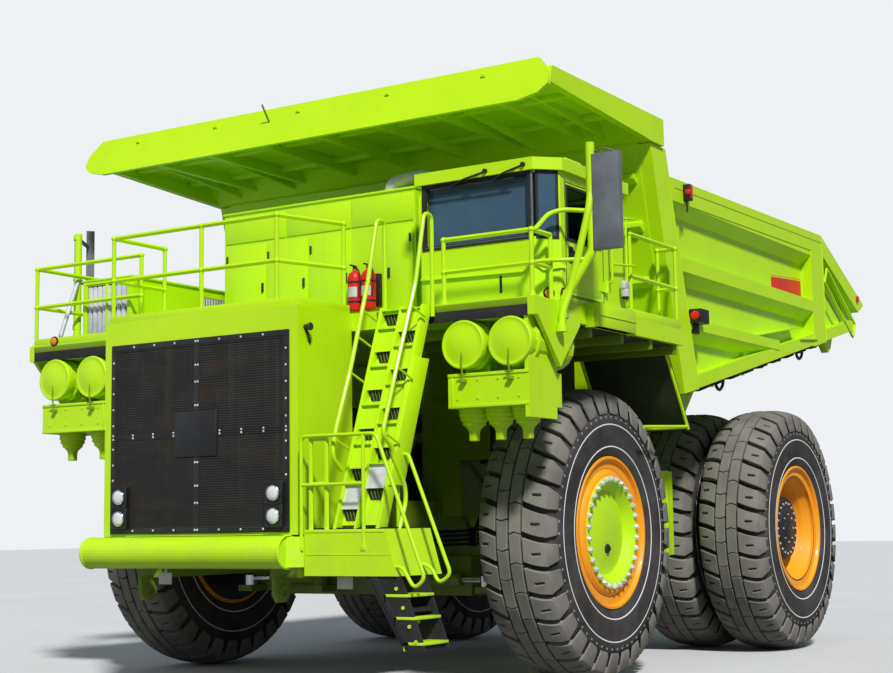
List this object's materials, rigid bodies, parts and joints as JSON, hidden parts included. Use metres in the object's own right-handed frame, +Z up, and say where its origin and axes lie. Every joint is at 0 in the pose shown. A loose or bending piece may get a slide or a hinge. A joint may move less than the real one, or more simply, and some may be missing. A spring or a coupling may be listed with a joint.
{
  "type": "mining dump truck",
  "caption": "Rigid-frame electric-drive mining dump truck with ribbed load body, canopy over the cab, upright radiator, side ladder and twin rear wheels",
  "frame": {"origin": "on the ground under the middle of the truck's length and width", "axes": "+Z up, front faces -Y, the truck's own left side is +X"},
  "size_m": [9, 13.365, 7.13],
  "materials": {
    "lime_paint": "gloss paint",
    "orange_paint": "satin paint",
    "tyre_rubber": "matt",
    "black_rubber": "matt",
    "dark_metal": "satin",
    "grille_black": "matt paint",
    "window_glass": "clear",
    "chrome_rod": "polished",
    "grey_plate": "satin paint",
    "red_paint": "gloss paint",
    "louvre_white": "satin paint",
    "seat_fabric": "woven"
  },
  "bodies": {
    "chassis": {"frame_rails": "lime_paint", "front_bumper": "lime_paint", "radiator_housing": "lime_paint", "radiator_grille": "grille_black", "engine_block": "dark_metal", "deck_centre": "lime_paint", "deck_left": "lime_paint", "deck_right": "lime_paint", "cab_shell": "lime_paint", "cab_glass": "window_glass", "operator_seat": "seat_fabric", "steering_console": "dark_metal", "air_cleaner_left": "lime_paint", "air_cleaner_right": "lime_paint", "electrical_cabinet": "lime_paint", "retarder_grid_box": "lime_paint", "retarder_louvres": "louvre_white", "ladder": "lime_paint", "front_platform": "lime_paint", "boarding_steps": "black_rubber", "mirror_left": "grey_plate", "mirror_right": "grey_plate", "fire_extinguishers": "red_paint", "fuel_tank": "lime_paint", "hydraulic_tank": "lime_paint", "rear_axle_housing": "lime_paint"},
    "door": {"cab_door": "lime_paint"},
    "steering_link": {"tie_rod": "dark_metal"},
    "tipping_body": {"dump_body": "lime_paint", "body_canopy": "lime_paint"},
    "knuckle_arm_left": {"knuckle_left": "lime_paint"},
    "front_hub_left": {"front_wheel_left": "orange_paint", "front_tyre_left": "tyre_rubber"},
    "rear_hub_left": {"rear_wheel_left": "orange_paint", "rear_tyres_left": "tyre_rubber"},
    "steering_barrel_left": {"steering_cylinder_left": "lime_paint"},
    "steering_piston_left": {"steering_rod_left": "chrome_rod"},
    "hoist_outer_left": {"hoist_barrel_left": "lime_paint"},
    "hoist_middle_left": {"hoist_stage_left": "chrome_rod"},
    "hoist_inner_left": {"hoist_rod_left": "chrome_rod"},
    "knuckle_arm_right": {"knuckle_right": "lime_paint"},
    "front_hub_right": {"front_wheel_right": "orange_paint", "front_tyre_right": "tyre_rubber"},
    "rear_hub_right": {"rear_wheel_right": "orange_paint", "rear_tyres_right": "tyre_rubber"},
    "steering_barrel_right": {"steering_cylinder_right": "lime_paint"},
    "steering_piston_right": {"steering_rod_right": "chrome_rod"},
    "hoist_outer_right": {"hoist_barrel_right": "lime_paint"},
    "hoist_middle_right": {"hoist_stage_right": "chrome_rod"},
    "hoist_inner_right": {"hoist_rod_right": "chrome_rod"}
  },
  "joints": [
    {"name": "steer_left", "type": "hinge", "parent": "chassis", "child": "knuckle_arm_left", "pos_m": [1.85, -2.725, 1.735], "axis": [0, 0, 1], "range_deg": [-35, 35]},
    {"name": "steer_right", "type": "hinge", "parent": "chassis", "child": "knuckle_arm_right", "pos_m": [-1.85, -2.725, 1.735], "axis": [0, 0, 1], "range_deg": [-35, 35]},
    {"name": "steering_link_turn", "type": "hinge", "parent": "knuckle_arm_left", "child": "steering_link", "pos_m": [1.85, -1.945, 1.16], "axis": [0, 0, 1], "range_deg": [-35, 35]},
    {"name": "front_spin_left", "type": "hinge", "parent": "knuckle_arm_left", "child": "front_hub_left", "pos_m": [2.905, -2.725, 1.735], "axis": [1, 0, 0], "continuous": true},
    {"name": "rear_spin_left", "type": "hinge", "parent": "chassis", "child": "rear_hub_left", "pos_m": [2.744, 2.58, 1.735], "axis": [1, 0, 0], "continuous": true},
    {"name": "steering_barrel_turn_left", "type": "hinge", "parent": "chassis", "child": "steering_barrel_left", "pos_m": [0.7, -3.115, 1.19], "axis": [0, 0, 1], "range_deg": [-2, 2]},
    {"name": "steering_piston_slide_left", "type": "slide", "parent": "steering_barrel_left", "child": "steering_piston_left", "axis": [0.9997, -0.0261, 0], "range_m": [-0.242, 0.242]},
    {"name": "front_spin_right", "type": "hinge", "parent": "knuckle_arm_right", "child": "front_hub_right", "pos_m": [-2.905, -2.725, 1.735], "axis": [1, 0, 0], "continuous": true},
    {"name": "rear_spin_right", "type": "hinge", "parent": "chassis", "child": "rear_hub_right", "pos_m": [-2.744, 2.58, 1.735], "axis": [1, 0, 0], "continuous": true},
    {"name": "steering_barrel_turn_right", "type": "hinge", "parent": "chassis", "child": "steering_barrel_right", "pos_m": [-0.7, -3.115, 1.19], "axis": [0, 0, 1], "range_deg": [-2, 2]},
    {"name": "steering_piston_slide_right", "type": "slide", "parent": "steering_barrel_right", "child": "steering_piston_right", "axis": [-0.9997, -0.0261, 0], "range_m": [-0.242, 0.242]},
    {"name": "cab_door_hinge", "type": "hinge", "parent": "chassis", "child": "door", "pos_m": [3.78, -3.575, 4.33], "axis": [0, 0, 1], "range_deg": [0, 85]},
    {"name": "body_raise", "type": "hinge", "parent": "chassis", "child": "tipping_body", "pos_m": [0, 3.975, 3.3], "axis": [-1, 0, 0], "range_deg": [0, 45]},
    {"name": "hoist_lean_left", "type": "hinge", "parent": "chassis", "child": "hoist_outer_left", "pos_m": [1.47, 1.025, 1.5], "axis": [-1, 0, 0], "range_deg": [0, 13]},
    {"name": "hoist_middle_slide_left", "type": "slide", "parent": "hoist_outer_left", "child": "hoist_middle_left", "axis": [0, 0.0693, 0.9976], "range_m": [0, 1.03]},
    {"name": "hoist_inner_slide_left", "type": "slide", "parent": "hoist_middle_left", "child": "hoist_inner_left", "axis": [0, 0.0693, 0.9976], "range_m": [0, 1.03]},
    {"name": "hoist_lean_right", "type": "hinge", "parent": "chassis", "child": "hoist_outer_right", "pos_m": [-1.47, 1.025, 1.5], "axis": [-1, 0, 0], "range_deg": [0, 13]},
    {"name": "hoist_middle_slide_right", "type": "slide", "parent": "hoist_outer_right", "child": "hoist_middle_right", "axis": [0, 0.0693, 0.9976], "range_m": [0, 1.03]},
    {"name": "hoist_inner_slide_right", "type": "slide", "parent": "hoist_middle_right", "child": "hoist_inner_right", "axis": [0, 0.0693, 0.9976], "range_m": [0, 1.03]}
  ],
  "couplings": [
    {"joint": "steer_right", "follows": "steer_left", "ratio": 1},
    {"joint": "steering_link_turn", "follows": "steer_left", "ratio": -1},
    {"joint": "steering_barrel_turn_left", "follows": "steer_left", "ratio": -0.014},
    {"joint": "steering_piston_slide_left", "follows": "steer_left", "m_per_rad": 0.3945},
    {"joint": "steering_barrel_turn_right", "follows": "steer_left", "ratio": -0.014},
    {"joint": "steering_piston_slide_right", "follows": "steer_left", "m_per_rad": -0.3945},
    {"joint": "hoist_lean_left", "follows": "body_raise", "ratio": 0.287},
    {"joint": "hoist_middle_slide_left", "follows": "body_raise", "m_per_rad": 1.3057},
    {"joint": "hoist_inner_slide_left", "follows": "body_raise", "m_per_rad": 1.3057},
    {"joint": "hoist_lean_right", "follows": "body_raise", "ratio": 0.287},
    {"joint": "hoist_middle_slide_right", "follows": "body_raise", "m_per_rad": 1.3057},
    {"joint": "hoist_inner_slide_right", "follows": "body_raise", "m_per_rad": 1.3057}
  ]
}
